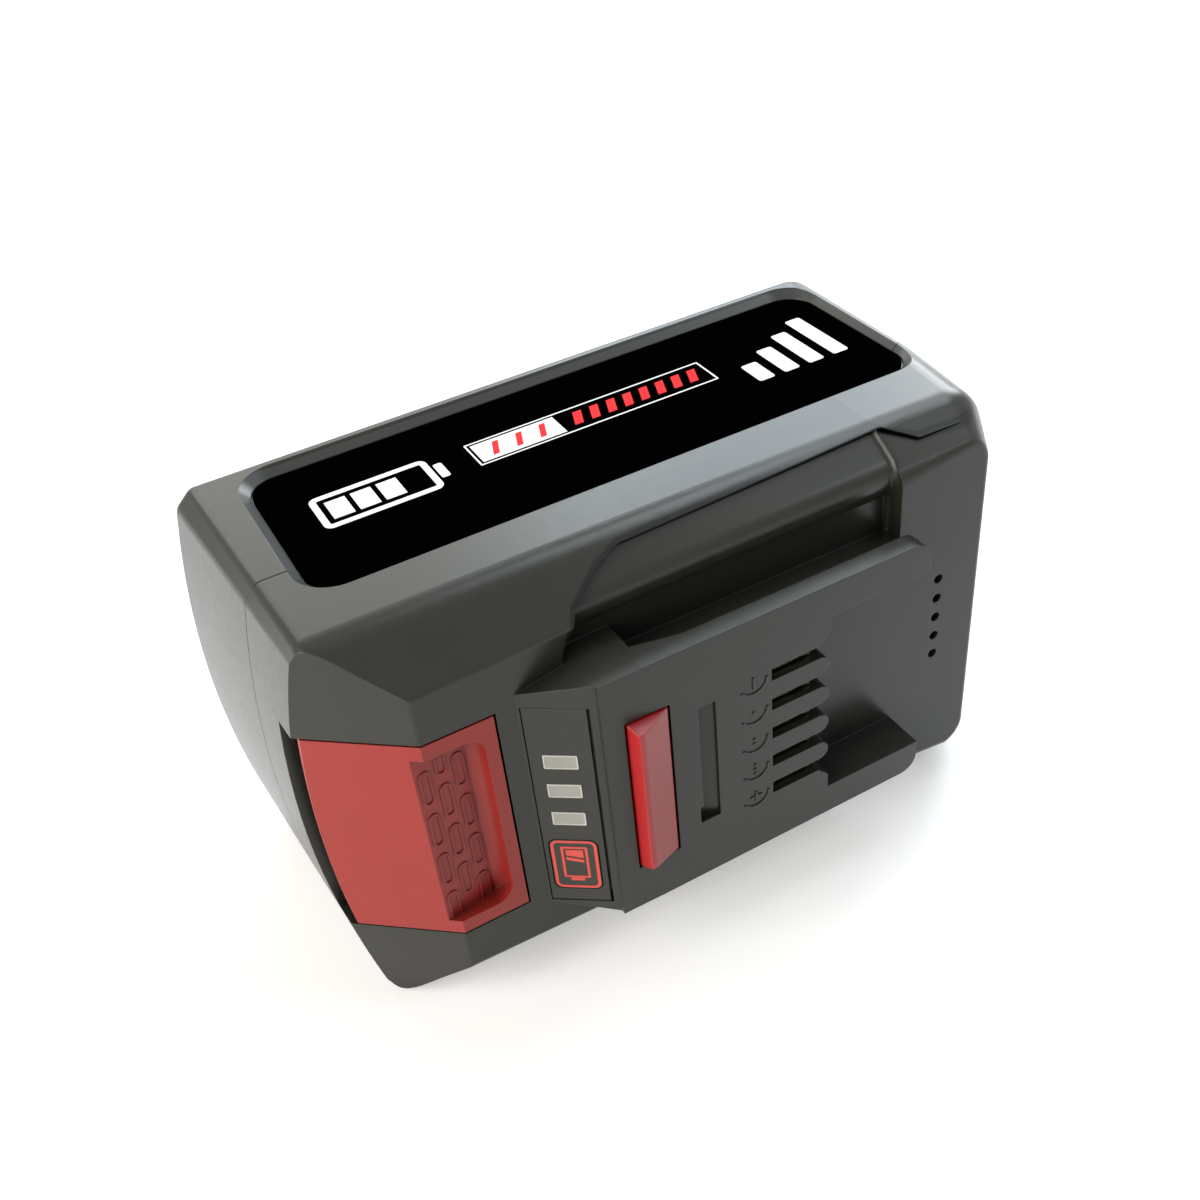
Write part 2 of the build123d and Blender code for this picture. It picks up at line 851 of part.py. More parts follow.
def thumb_ribs():
    """Staggered rows of long rings that stand on the scoop's floor."""
    start = Vector(thumb_front_x, floor_y + (fold_x - thumb_front_x) * slope_steepness(), 0)
    deep = Vector(thumb_rear_x - thumb_bend, floor_y + thumb_depth, 0)
    run = (deep - start).normalized()
    bed = Plane(start, x_dir=run, z_dir=Vector(run.Y, -run.X, 0))
    shape = SlotOverall(rib_length, rib_width, rotation=90)
    shape -= SlotOverall(rib_length - 2 * rib_line, rib_width - 2 * rib_line, rotation=90)
    spots = []
    for column in range(rib_columns):
        shift = rib_pitch / 2 * (column % 2)
        for row in range(rib_rows):
            z = (row - (rib_rows - 1) / 2) * rib_pitch + shift - rib_pitch / 4
            spots.append(Pos(rib_start + column * rib_column_pitch, z) * shape)
    return extrude(bed * (Sketch() + spots), amount=rib_height)


def release_button():
    """The button's cap with its skirts and the posts that stand on the carrier."""
    plan = slab(button_front_plan(), -past, slope_foot_y + button_tip_height)
    form = hull([floor_y, shoulder_y, seam_y]) - slope_cut()
    cap = form & plan
    under = floor_y + thumb_depth + scoop_wall
    inner = rect(slope_foot_x - far, button_rear_x - button_wall, button_wall - button_half,
                 button_half - button_wall)
    cap -= slab(inner, under, seam_y) - slope_cut(button_wall)
    skirts = slab(button_plan(), -past, carrier_y - skirt_clearance)
    cap &= skirts + (slope_shell() & plan)
    cap -= thumb_recess()
    cap += thumb_ribs()
    posts = [post(x, z, button_post_radius, under - merge, carrier_y)
             for x, z in button_post_spots()]
    pins = [post(x, z, pin_radius, carrier_y - merge, carrier_y + carrier_thickness)
            for x, z in button_post_spots()]
    return cap + posts + pins


def slope_shell():
    """A plate just under the sloping front, as thick as the button's wall."""
    return slope_cut(button_wall) - slope_cut()


def button_post_spots():
    return [(button_post_x, z) for z in (-button_post_z, button_post_z)]


def latch_hook():
    """Wedge that locks the pack in a tool: steep towards the button, sloping to the rear."""
    low = level(0) * rect(hook_front_x, hook_rear_x, -hook_half, hook_half)
    ridge_half = hook_half - hook_ridge_inset
    ridge = rect(hook_ridge_x - hook_ridge_length / 2, hook_ridge_x + hook_ridge_length / 2,
                 -ridge_half, ridge_half)
    high = level(-hook_height) * ridge
    wedge = loft([low.face(), high.face()], ruled=True)
    body = slab(rect(hook_front_x, hook_rear_x, -hook_half, hook_half), 0, carrier_y)
    hollow = slab(rect(hook_front_x + hook_wall, hook_rear_x - hook_wall,
                       hook_wall - hook_half, hook_half - hook_wall), platform_wall, carrier_y)
    feet = [post(x, z, pin_radius, carrier_y - merge, carrier_y + carrier_thickness)
            for x, z in hook_pin_spots()]
    necks = [brick(hook_front_x, hook_rear_x, platform_wall, carrier_y,
                   z - hook_neck / 2, z + hook_neck / 2) for x, z in hook_pin_spots()]
    return wedge + body - hollow + necks + feet


def hook_pin_spots():
    return [((hook_front_x + hook_rear_x) / 2, z) for z in (-hook_pin_z, hook_pin_z)]


def latch_carrier():
    """Plate inside the pack that ties the button to the hook and rests on the springs."""
    front = spring_x - spring_radius - spring_seat
    low = carrier_y + carrier_thickness
    plan = rect(front, hook_rear_x, -carrier_half, carrier_half)
    window_half = carrier_half - carrier_bar
    plan -= rect(carrier_window_x, hook_front_x - carrier_end_bar, -window_half, window_half)
    plate = slab(plan, carrier_y, low)
    rim = brick(button_rear_x + merge, hook_front_x - merge, carrier_y - carrier_rim_height,
                carrier_y, carrier_half - carrier_rim_width, carrier_half)
    hole = pin_radius + pin_clearance
    holes = [post(x, z, hole, carrier_y - past, low + past)
             for x, z in button_post_spots() + hook_pin_spots()]
    stud = spring_radius - spring_wire - stud_clearance
    studs = [post(spring_x, z, stud, carrier_y + carrier_thickness / 2, low + stud_height)
             for z in (-spring_z, spring_z)]
    return plate + both_sides(rim) + studs - holes


def latch_springs():
    """Two coil springs between the carrier and the holder's deck, as plain tubes."""
    start = carrier_y + carrier_thickness
    rings = [Pos(spring_x, z) * (Circle(spring_radius) - Circle(spring_radius - spring_wire))
             for z in (-spring_z, spring_z)]
    return slab(Sketch() + rings, start, deck_y)


def gauge_panel():
    plate = on_ramp(panel_sketch(), -panel_sink, -panel_sink - panel_thickness)
    plate -= on_ramp(window_sketch(window_clearance), merge, -platform_wall)
    return plate - on_ramp(key_cap_sketch(key_cap_clearance), merge, -platform_wall)


def gauge_windows():
    return on_ramp(window_sketch(), -panel_sink, led_clearance - led_top())


def led_top():
    """Depth of the lamps' faces under the ramp."""
    return gauge_board_depth - led_height


def gauge_leds():
    shape = Rectangle(led_length, led_width)
    spots = Sketch() + [Pos(*spot) * shape for spot in window_spots()]
    return on_ramp(spots, -led_top(), -gauge_board_depth)


def gauge_button():
    """Key with a rim that stops behind the ramp's wall."""
    cap = on_ramp(key_cap_sketch(), -panel_sink, -key_rim_depth - key_rim_thickness)
    rim = on_ramp(key_cap_sketch(key_rim), -key_rim_depth, -key_rim_depth - key_rim_thickness)
    return cap + rim


def tact_switch():
    top = key_rim_depth + key_rim_thickness + key_cap_travel + switch_clearance
    spot = Pos(window_middle, key_cap_z)
    return on_ramp(spot * Rectangle(switch_size, switch_size), -top, -gauge_board_depth)


def gauge_board():
    plan = rect(gauge_board_start, gauge_board_end, gauge_board_low_z, gauge_board_high_z)
    plan -= Sketch() + [Pos(window_middle, z) * Circle(gauge_screw_radius) for z in gauge_screw_z]
    return on_ramp(plan, -gauge_board_depth, -gauge_board_depth - gauge_board_thickness)


def gauge_screws():
    low = gauge_board_depth + gauge_board_thickness
    return (gauge_posts(gauge_screw_radius, -platform_wall, -low)
            + gauge_posts(gauge_head_radius, -low, -low - gauge_head_height))


def cell_spot(column, row):
    """Centre of one cell in side view, counted from the front and from the base."""
    highest = deck_y + deck_thickness + bore_clearance + cell_radius
    return cell_first_x + column * cell_pitch_x, highest + (rows - 1 - row) * cell_pitch_y


def all_spots():
    return [cell_spot(c, r) for c in range(columns) for r in range(rows)]


def board_y():
    """Upper face of the main circuit board."""
    return deck_y - board_standoff - board_thickness


def screw_tip_y():
    return head_seat_y - screw_length


def cell(column, row):
    """One cell across the width, its cap up in even columns and down in odd ones."""
    x, y = cell_spot(column, row)
    half = cell_length / 2
    up = column % 2 == 0
    can = across(Pos(x, y) * Circle(cell_radius), -half, half - cap_height)
    can += across(Pos(x, y) * Circle(cap_radius), half - cap_height, half)
    return can if up else mirror(can, about=Plane.XY)


def board_screw_spots():
    edge_z = board_half - board_screw_inset_z
    ends_x = (board_front_x + board_screw_inset_x, board_rear_x - board_screw_inset_x)
    return [(x, z) for x in ends_x for z in (-edge_z, edge_z)]


def cell_holder(upper):
    """End frame with ten bores, and half of the deck that carries the board and springs."""
    half = cell_length / 2
    front = cell_spot(0, 0)[0] - cell_radius - holder_rim
    rear = cell_spot(columns - 1, 0)[0] + cell_radius + holder_rim
    low = cell_spot(0, 0)[1] + cell_radius + holder_low_rim
    under_deck = deck_y + deck_thickness
    bores = [Pos(*spot) * Circle(cell_radius + bore_clearance) for spot in all_spots()]
    form = across(rect(front, rear, deck_y, low) - bores, half - holder_depth, half)
    form += brick(front, rear, deck_y, under_deck, holder_gap / 2, half)
    form -= screw_posts(boss_head_radius + boss_clearance, 0, base_y)
    spots = [(x, z) for x, z in board_screw_spots() if z > 0]
    form += [post(x, z, stand_radius, deck_y - board_standoff, under_deck) for x, z in spots]
    form -= [post(x, z, board_screw_radius, 0, under_deck + merge) for x, z in spots]
    form -= post(*thermistor_spot(), thermistor_hole_radius, 0, under_deck + merge)
    return form if upper else mirror(form, about=Plane.XY)


def thermistor_spot():
    """Over the middle column of cells."""
    return (cell_spot(columns // 2, 0)[0], thermistor_z)


def strip_bar(column):
    """Part of a weld strip over one pair of cells."""
    x, top = cell_spot(column, rows - 1)
    low = cell_spot(column, 0)[1]
    half = strip_width / 2
    return rect(x - half, x + half, top - strip_reach, low + strip_reach)


def weld_strip(first, last, upper):
    """Strip over one or two columns of cells, with a tab bent over onto the board."""
    half = cell_length / 2
    shape = strip_bar(first) + strip_bar(last)
    x0 = cell_spot(first, 0)[0]
    x1 = cell_spot(last, 0)[0]
    middle = (cell_spot(first, 0)[1] + cell_spot(first, rows - 1)[1]) / 2
    if last > first:
        shape += rect(x0, x1, middle - strip_bridge / 2, middle + strip_bridge / 2)
    tab_top = board_y() - strip_thickness
    tab_x = (x0 - tab_width / 2, x0 + tab_width / 2)
    shape += rect(*tab_x, tab_top, middle)
    outer = half + strip_thickness
    strip = across(shape, half, outer)
    strip += brick(*tab_x, tab_top, board_y(), board_half - tab_overlap, outer)
    return strip if upper else mirror(strip, about=Plane.XY)


def strip_spans():
    """First and last column of each strip, which join the cells in series from side to side."""
    spans = [(column, column + 1, column % 2 == 1) for column in range(-1, columns)]
    return [(max(first, 0), min(last, columns - 1), upper) for first, last, upper in spans]


def insulator(upper):
    inner = cell_length / 2 + strip_thickness + insulator_clearance
    front, top = cell_spot(0, rows - 1)
    rear, low = cell_spot(columns - 1, 0)
    sheet = brick(front - cell_radius, rear + cell_radius, top - cell_radius, low + cell_radius,
                  inner, inner + insulator_thickness)
    return sheet if upper else mirror(sheet, about=Plane.XY)


def circuit_board():
    plan = rect(board_front_x, board_rear_x, -board_half, board_half)
    plan -= Sketch() + [Pos(*spot) * Circle(board_screw_radius) for spot in board_screw_spots()]
    return slab(plan, board_y(), board_y() + board_thickness)


def board_screws():
    top = board_y()
    shanks = [post(x, z, board_screw_radius, top, deck_y + deck_thickness)
              for x, z in board_screw_spots()]
    heads = [post(x, z, board_head_radius, top - board_head_height, top)
             for x, z in board_screw_spots()]
    return Part() + shanks + heads


def power_transistors():
    chips = [Pos(x, z) * Rectangle(transistor_length, transistor_width)
             for x in transistor_x for z in transistor_z]
    return slab(Sketch() + chips, board_y() - transistor_height, board_y())


def monitor_chip():
    chip = Pos(monitor_x, 0) * Rectangle(monitor_size, monitor_size)
    return slab(chip, board_y() - monitor_height, board_y())


def thermistor():
    return post(*thermistor_spot(), thermistor_radius, board_y() + board_thickness,
                deck_y + deck_thickness + bore_clearance)


def slot_middle(index):
    return (index - (slot_count - 1) / 2) * slot_pitch


def contact_stem_half():
    return clip_gap / 2 + stem_grip


def terminal_block():
    """Moulded block on the board that holds the five contacts upright."""
    body = brick(block_front_x, block_end_x, block_top_y, board_y(), -block_half, block_half)
    half = contact_stem_half() + stem_clearance
    front = clip_front_x + stem_front - stem_clearance
    rear = clip_front_x + stem_rear + stem_clearance
    for i in range(slot_count):
        z = slot_middle(i)
        body -= brick(front, rear, 0, seam_y, z - half, z + half)
    return body


def contact(index):
    """Sprung female clip on a flat stem that goes down to the board."""
    root_x = clip_front_x + clip_root
    bend_x = clip_rear_x - clip_bend
    inner = [(clip_front_x, clip_gap / 2), (root_x, clip_gap / 2), (bend_x, clip_pinch / 2),
             (clip_rear_x, clip_mouth / 2)]
    outer = [(x, z + clip_thickness) for x, z in reversed(inner)]
    leaf = polygon(*inner, *outer)
    clip = slab(leaf + mirror(leaf, about=Plane.XZ), clip_top_y, clip_low_y)
    bridge_y = clip_low_y - clip_bridge_height
    half = clip_gap / 2 + clip_thickness
    clip += brick(clip_front_x, root_x, bridge_y, clip_low_y, -half, half)
    stem = contact_stem_half()
    clip += brick(clip_front_x + stem_front, clip_front_x + stem_rear, bridge_y, board_y(),
                  -stem, stem)
    return Pos(0, 0, slot_middle(index)) * clip


def gauge_ribbon():
    """Flat lead that joins the gauge's board to the main board, beside the carrier."""
    low_z = carrier_half + ribbon_clearance
    return brick(ribbon_x, ribbon_x + ribbon_thickness, ribbon_top_y, board_y(),
                 low_z, low_z + ribbon_width)


def housing_screws():
    radius = screw_shank_radius - screw_thread_clearance
    shanks = [post(x, z, radius, screw_tip_y(), head_seat_y)
              for x, z in screw_spots()]
    heads = [post(x, z, screw_head_radius, head_seat_y, head_seat_y + screw_head_height)
             for x, z in screw_spots()]
    return Part() + shanks + heads


def label_plate():
    bed = half_width - recess_depth - label_thickness
    return across(label_sketch(), bed, bed + label_thickness)


def middle_x():
    front = front_edge_x - front_edge_draft * base_y - front_bow
    return (front + base_rear_x) / 2


def export(name, solid):
    """Move a piece so that the pack stands on the middle of its lower side, and write it."""
    shift = Pos(-middle_x(), -(base_y - hook_height) / 2, half_width)
    export_step(shift * solid, f"parts/{name}.step")


def main():
    os.makedirs("parts", exist_ok=True)
    export("terminal_housing", terminal_housing())
    export("bottom_housing", bottom_housing())
    export("release_button", release_button())
    export("latch_hook", latch_hook())
    export("latch_carrier", latch_carrier())
    export("latch_springs", latch_springs())
    export("gauge_panel", gauge_panel())
    export("gauge_windows", gauge_windows())
    export("gauge_button", gauge_button())
    export("gauge_board", gauge_board())
    export("gauge_leds", gauge_leds())
    export("gauge_screws", gauge_screws())
    export("gauge_ribbon", gauge_ribbon())
    export("tact_switch", tact_switch())
    export("circuit_board", circuit_board())
    export("board_screws", board_screws())
    export("power_transistors", power_transistors())
    export("monitor_chip", monitor_chip())
    export("thermistor", thermistor())
    export("terminal_block", terminal_block())
    for i, name in enumerate(contact_names):
        export(name, contact(i))
    export("cell_holder_upper", cell_holder(True))
    export("cell_holder_lower", cell_holder(False))
    for column in range(columns):
        for row in range(rows):
            export(f"cell_{column * rows + row + 1:02d}", cell(column, row))
    for first, last, upper in strip_spans():
        export(f"weld_strip_{first + 1}_{last + 1}", weld_strip(first, last, upper))
    export("insulator_upper", insulator(True))
    export("insulator_lower", insulator(False))
    export("housing_screws", housing_screws())
    export("label_plate", label_plate())


main()
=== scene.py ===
"""Power tool battery pack, lying on its side on a pale studio floor.

+X runs from the button end to the rear end, +Y from the rails to the base, and +Z points up,
across the pack's width, towards the labelled side.
"""

import json
import math

import bmesh
import bpy
from mathutils import Matrix, Vector

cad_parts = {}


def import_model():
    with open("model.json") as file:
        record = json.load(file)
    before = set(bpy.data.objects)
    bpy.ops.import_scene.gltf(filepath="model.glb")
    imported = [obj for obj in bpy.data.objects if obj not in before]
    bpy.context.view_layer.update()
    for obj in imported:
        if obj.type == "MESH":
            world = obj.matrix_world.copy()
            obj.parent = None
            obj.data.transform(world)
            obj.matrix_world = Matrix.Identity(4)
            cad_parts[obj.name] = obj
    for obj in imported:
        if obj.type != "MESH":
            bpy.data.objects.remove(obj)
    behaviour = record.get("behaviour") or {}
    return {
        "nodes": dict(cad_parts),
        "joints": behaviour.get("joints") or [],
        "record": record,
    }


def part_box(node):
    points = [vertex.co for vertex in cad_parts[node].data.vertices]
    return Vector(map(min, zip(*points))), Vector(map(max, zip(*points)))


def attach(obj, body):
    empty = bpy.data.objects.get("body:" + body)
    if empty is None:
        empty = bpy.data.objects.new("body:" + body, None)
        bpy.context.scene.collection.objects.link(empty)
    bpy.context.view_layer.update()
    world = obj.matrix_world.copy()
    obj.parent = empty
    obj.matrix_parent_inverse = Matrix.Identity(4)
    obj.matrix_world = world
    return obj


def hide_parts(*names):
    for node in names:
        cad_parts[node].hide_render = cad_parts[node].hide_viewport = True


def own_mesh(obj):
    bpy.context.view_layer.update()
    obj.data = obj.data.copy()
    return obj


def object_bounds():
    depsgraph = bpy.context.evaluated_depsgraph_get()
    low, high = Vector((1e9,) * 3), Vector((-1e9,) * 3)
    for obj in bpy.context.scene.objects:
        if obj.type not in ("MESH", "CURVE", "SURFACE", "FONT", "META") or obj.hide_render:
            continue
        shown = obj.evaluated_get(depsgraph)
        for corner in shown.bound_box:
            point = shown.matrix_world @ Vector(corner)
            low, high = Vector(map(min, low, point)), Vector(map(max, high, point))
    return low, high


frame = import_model()
start_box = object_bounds()

MM = 0.001

# Camera, from about thirty corners of the photo. Pixels are of the 1200 x 1200 frame, and the
# clip distances are in metres.
IMAGE_WIDTH = 1200
FOCAL_PIXELS = 1336.3
SENSOR = 36.0
CAMERA_TARGET = Vector((-10.02, -13.81, 61.65)) * MM
CAMERA_DISTANCE = 204.07 * MM
CAMERA_AZIMUTH = math.radians(-24.963)
CAMERA_ELEVATION = math.radians(38.316)
CAMERA_ROLL = math.radians(-6.615)
CLIP_START, CLIP_END = 0.005, 20.0

# Soft boxes: azimuth from the front (-Y) towards the rear end (+X) and elevation in degrees,
# width and height in metres, power in watts and colour
LAMPS = {
    "left_box": (-78, 18, (0.9, 0.7), 11.6, (1.0, 0.94, 0.86)),
    "high_left_box": (-100, 44, (0.4, 0.4), 1.9, (1.0, 0.97, 0.9)),
    "back_box": (178, 32, (0.7, 0.5), 2.6, (1.0, 1.0, 0.95)),
    "right_back_box": (122, 24, (0.35, 0.45), 4.2, (0.92, 0.98, 1.0)),
    "back_right_box": (146, 30, (0.35, 0.45), 2.9, (0.78, 0.91, 1.0)),
    "right_front_box": (58, 42, (0.25, 0.3), 1.3, (0.85, 0.95, 1.0)),
    "high_right_box": (110, 60, (0.4, 0.4), 3.2, (0.82, 0.93, 1.0)),
}
LAMP_DISTANCE = 0.9
LAMP_AIM = Vector((0, 0, 40)) * MM

# World, and floor in metres; the floor's glow grows to full white over a fade in mm
WORLD_TINT = (0.97, 0.99, 1.0)
WORLD_STRENGTH = 0.1
WORLD_GLOSS = (0.8, 0.8, 0.8)
WHITE = (1.0, 1.0, 1.0)
FLOOR_HALF = 3.0
FLOOR_GREY = (0.8, 0.8, 0.8)
FLOOR_GLOW = 0.36
FLOOR_FADE = (300, 900)

# Surfaces: sizes and depths in mm. Noise mostly stays within its range.
NOISE_LOW, NOISE_HIGH = 0.3, 0.7
DRIFT_SIZE = 9.0
SHEEN_SIZE = 1.4
SHEEN_CHANGE = 0.02
COARSE_GRAIN = 2.5
DRAWN_SIZE = 1.2
DRAWN_STRETCH = (1, 1, 12)
DRAWN_CHANGE = 0.08
METAL_GRAIN = 0.3
METAL_DEPTH = 0.002
# Painted shade in gaps and corners: how fast it darkens, and its darkest grey
PAINTED_SHADE_POWER = 1.4
DARKEST_PAINTED_SHADE = (0.25, 0.25, 0.25)
SHADER_SAMPLES = 6
HOUSING = (0.0232, 0.0232, 0.0185)
SATIN = 0.36

# Painted shade line round the mouths of the rail grooves, in mm: x and distance from the middle plane
GROOVE_SHADE_LINE = [(-20.8, 28.4), (-18.5, 31.9), (-12.8, 35.0), (-8.3, 36.4), (38.9, 37.4),
            (44.9, 35.4), (57.3, 35.4)]
GROOVE_SHADE_WIDTH = (0.4, 0.8)
GROOVE_SHADE_LOW_Y = -6.0
PAINTED_GROOVE_SHADE = tuple(0.12 * channel for channel in HOUSING)
MIDDLE_Z = (start_box[0][2] + start_box[1][2]) / 2

# Painted highlight on the rim round the label, in mm, where side is the distance from the middle plane
RIM_X = (-51.5, 59.4)
RIM_Y = (-5.8, 31.6)
RIM_SIDE = (36.3, 37.85)
PAINTED_RIM_HIGHLIGHT = (0.05, 0.053, 0.05)

# Prints and raised marks in mm: how far they stand over their face and reach into it, and the
# least round inside a drawn outline
PRINT_HEIGHT = 0.04
MARK_HEIGHT = 0.16
PRINT_SINK = 0.03
INNER_ROUND = 0.05

# Generic art of the label: places along and across the plate, in mm from its corner
STRIP_START, STRIP_END = 34.0, 79.0
STRIP_LOW, STRIP_HIGH = 16.6, 23.8
STRIP_LINE = 0.3
STRIP_ROUND = 0.2
STRIP_INSET = 0.78
STRIP_BLOCK = 16.0
DASH_INSET = 1.7
DASH_SLANT = 1.4
BARS_START, BARS_LOW = 84.0, 11.4
CELL_START, CELL_LOW = 7.0, 14.6

# Sign on the gauge's key and rims of its windows, in mm from their middles
KEY_INSET = 0.12
KEY_LINE = 0.5
KEY_ROUND = 1.25
KEY_CELL_HALF = 2.15
KEY_CELL_TOP, KEY_CELL_FOOT = 4.2, -3.1
KEY_CELL_LINE = 0.42
KEY_CELL_ROUND = 0.6 * KEY_CELL_LINE
KEY_CELL_GAP = 0.75
WINDOW_WIDTH = 2.85
WINDOW_LINE = 0.28
WINDOW_ROUND = 0.3

# Marks beside the contact slots, in mm, and the turn of their arcs in degrees
CONTACTS = ["contact_negative", "contact_signal_3", "contact_signal_2", "contact_signal_1",
            "contact_positive"]
MARK_GAP = 3.95
MARK_ARC = (2.45, 2.2)
MARK_TURN = (8, -150)
MARK_LINE = 0.42
SIGN_REACH, SIGN_HALF_LINE = 1.1, 0.2
DOT_PITCH, DOT_RADIUS = 0.95, 0.32

# Coil springs under the latch, with their wire's width in mm
SPRING_WIRE = 0.7
SPRING_TURNS = 6
COIL_STEPS = 20
WIRE_SIDES = 8

# The outer face of a node: how closely it faces a direction, and its flatness in mm
FACING = 0.999
FLATNESS = 0.01


class Nodes:
    """The nodes of a material or a world: short calls that add them and join them."""

    def __init__(self, owner, output):
        owner.use_nodes = True
        self.tree = owner.node_tree
        self.tree.nodes.clear()
        self.surface = self.add(output).inputs["Surface"]

    def add(self, kind, **inputs):
        """A new node with some of its inputs fed, which are named with _ for a space."""
        node = self.tree.nodes.new(kind)
        for name, value in inputs.items():
            self.feed(node.inputs[name.replace("_", " ")], value)
        return node

    def feed(self, socket, value):
        """Give a socket a number, a vector, a colour or the output of another node."""
        if isinstance(value, bpy.types.NodeSocket):
            self.tree.links.new(value, socket)
        elif socket.type == "RGBA":
            socket.default_value = (*value, 1.0)
        else:
            socket.default_value = value

    def math(self, operation, first, second=0.0):
        """Result of an operation on two outputs or numbers."""
        node = self.add("ShaderNodeMath")
        node.operation = operation
        self.feed(node.inputs[0], first)
        self.feed(node.inputs[1], second)
        return node.outputs[0]

    def combine(self, operation, values):
        """Result of an operation over a list of outputs."""
        result = values[0]
        for value in values[1:]:
            result = self.math(operation, result, value)
        return result

    def length(self, x, y):
        """Length of a flat vector, from the outputs of its two sides."""
        squares = [self.math("MULTIPLY", value, value) for value in (x, y)]
        return self.math("POWER", self.math("ADD", *squares), 0.5)

    def step(self, value, low, high):
        """Smooth step from 0 to 1 as a value goes from low to high, in millimetres."""
        node = self.add("ShaderNodeMapRange", Value=value, From_Min=low * MM, From_Max=high * MM)
        node.interpolation_type = "SMOOTHSTEP"
        return node.outputs[0]

    def coordinates(self):
        """The three coordinates of the shaded point, on the frame's axes and in metres."""
        place = self.add("ShaderNodeTexCoord").outputs["Object"]
        return self.add("ShaderNodeSeparateXYZ", Vector=place).outputs

    def mix_shaders(self, factor, first, second):
        """A first shader where a factor is 0 and a second one where it is 1."""
        node = self.add("ShaderNodeMixShader")
        for socket, value in zip(node.inputs, (factor, first, second)):
            self.feed(socket, value)
        return node.outputs[0]


class Paint(Nodes):
    """One procedural material round a shader, with the steps that a surface is made of."""

    def __init__(self, name, color, roughness, **settings):
        self.material = bpy.data.materials.new(name)
        super().__init__(self.material, "ShaderNodeOutputMaterial")
        self.shader = self.add("ShaderNodeBsdfPrincipled", Base_Color=color, Roughness=roughness,
                               **settings)
        self.feed(self.surface, self.shader.outputs[0])
        self.place = self.add("ShaderNodeTexCoord").outputs["Object"]

    def drive(self, name, output):
        """Let an output drive one of the shader's inputs."""
        self.feed(self.shader.inputs[name], output)

    def stretched(self, scale):
        """The place of the shaded point, scaled along each axis."""
        return self.add("ShaderNodeMapping", Vector=self.place, Scale=scale).outputs[0]

    def noise(self, size, detail, place=None):
        """Noise whose features are about as large as a size in millimetres."""
        node = self.add("ShaderNodeTexNoise", Vector=place or self.place, Scale=1.0 / (size * MM),
                        Detail=detail)
        return node.outputs["Fac"]

    def spread(self, noise, low, high):
        """Noise stretched to a range."""
        node = self.add("ShaderNodeMapRange", Value=noise, From_Min=NOISE_LOW, From_Max=NOISE_HIGH,
                        To_Min=low, To_Max=high)
        return node.outputs[0]

    def blend(self, factor, first, second, kind="MIX"):
        """Mix of two colours, each a colour or the output of a node."""
        node = self.add("ShaderNodeMix")
        node.data_type = "RGBA"
        node.blend_type = kind
        self.feed(node.inputs[0], factor)
        colors = [socket for socket in node.inputs if socket.type == "RGBA"]
        self.feed(colors[0], first)
        self.feed(colors[1], second)
        return [socket for socket in node.outputs if socket.type == "RGBA"][0]

    def shelter(self, color, depth):
        """Colour with painted shade, darker in gaps and corners narrower than a depth in millimetres."""
        node = self.add("ShaderNodeAmbientOcclusion", Distance=depth * MM)
        node.samples = SHADER_SAMPLES
        open_sky = self.math("POWER", node.outputs["AO"], PAINTED_SHADE_POWER)
        return self.blend(1.0, color, self.blend(open_sky, DARKEST_PAINTED_SHADE, WHITE), "MULTIPLY")

    def soft_edges(self, radius):
        """Normal that rounds every edge by a radius in millimetres."""
        node = self.add("ShaderNodeBevel", Radius=radius * MM)
        node.samples = SHADER_SAMPLES
        return node.outputs[0]

    def bump(self, height, depth, normal=None):
        """Normal of a relief of a depth in millimetres, over another normal."""
        node = self.add("ShaderNodeBump", Height=height, Strength=1.0, Distance=depth * MM)
        if normal:
            self.feed(node.inputs["Normal"], normal)
        return node.outputs[0]


def moulded(name, color, roughness, grain=0.22, grain_depth=0.004, shift=0.04, edge=0.25,
            shelter=0.0, shades=None, **settings):
    """Moulded plastic: a fine grain, a slow drift of colour and softly broken edges, with painted shade
    in gaps and corners and other painted light where given.
    """
    paint = Paint(name, color, roughness, **settings)
    darker = tuple(channel * (1 - shift) for channel in color)
    lighter = tuple(channel * (1 + shift) for channel in color)
    drift = paint.spread(paint.noise(DRIFT_SIZE, detail=4.0), 0, 1)
    tint = paint.blend(drift, darker, lighter)
    # Painted light: a painted highlight and painted shade from the given function
    if shades:
        tint = shades(paint, tint)
    # Painted shade in gaps and corners, from ambient occlusion
    if shelter:
        tint = paint.shelter(tint, shelter)
    sheen = paint.noise(SHEEN_SIZE, detail=3.0)
    coarse = paint.bump(paint.noise(grain * COARSE_GRAIN, detail=1.0), grain_depth,
                        paint.soft_edges(edge))
    fine = paint.bump(paint.noise(grain, detail=1.0), grain_depth / 2, coarse)
    paint.drive("Base Color", tint)
    paint.drive("Roughness", paint.spread(sheen, roughness - SHEEN_CHANGE, roughness + SHEEN_CHANGE))
    paint.drive("Normal", fine)
    return paint.material


def metal(name, color, roughness):
    """Bare metal with a finely drawn surface."""
    paint = Paint(name, color, roughness, Metallic=1.0)
    drawn = paint.noise(DRAWN_SIZE, detail=3.0, place=paint.stretched(DRAWN_STRETCH))
    paint.drive("Roughness", paint.spread(drawn, roughness - DRAWN_CHANGE, roughness + DRAWN_CHANGE))
    paint.drive("Normal", paint.bump(paint.noise(METAL_GRAIN, detail=2.0), METAL_DEPTH))
    return paint.material


